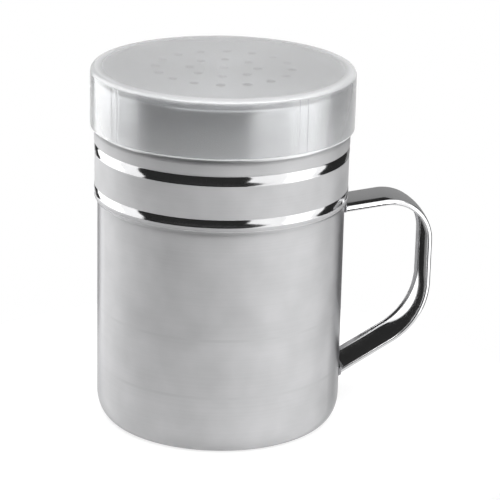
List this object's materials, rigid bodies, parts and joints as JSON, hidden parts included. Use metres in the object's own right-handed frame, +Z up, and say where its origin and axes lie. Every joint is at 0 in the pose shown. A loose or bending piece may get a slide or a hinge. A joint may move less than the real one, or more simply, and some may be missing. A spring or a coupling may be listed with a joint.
{
  "type": "handled spice shaker",
  "caption": "Steel cup with a strap handle, a perforated sleeve lid that lifts off and a translucent plastic snap cover.",
  "frame": {"origin": "on the cup's axis, at the underside of its base", "axes": "+Z up along the cup's axis, +X towards the handle"},
  "size_m": [0.0981, 0.0742, 0.1027],
  "materials": {
    "cup_steel": "satin",
    "lid_steel": "satin with polished beads",
    "handle_steel": "mirror polished stainless steel",
    "weld_metal": "as welded and cleaned",
    "cover_plastic": "frosted translucent polyethylene"
  },
  "bodies": {
    "cup": {"cup_body": "cup_steel", "handle_strap": "handle_steel", "top_weld": "weld_metal", "low_weld": "weld_metal"},
    "lid": {"lid_cap": "lid_steel"},
    "cover": {"snap_cover": "cover_plastic"}
  },
  "joints": [
    {"name": "lid_lift", "type": "slide", "parent": "cup", "child": "lid", "axis": [0, 0, 1], "range_m": [0, 0.045]},
    {"name": "cover_lift", "type": "slide", "parent": "lid", "child": "cover", "axis": [0, 0, 1], "range_m": [0, 0.03]}
  ]
}
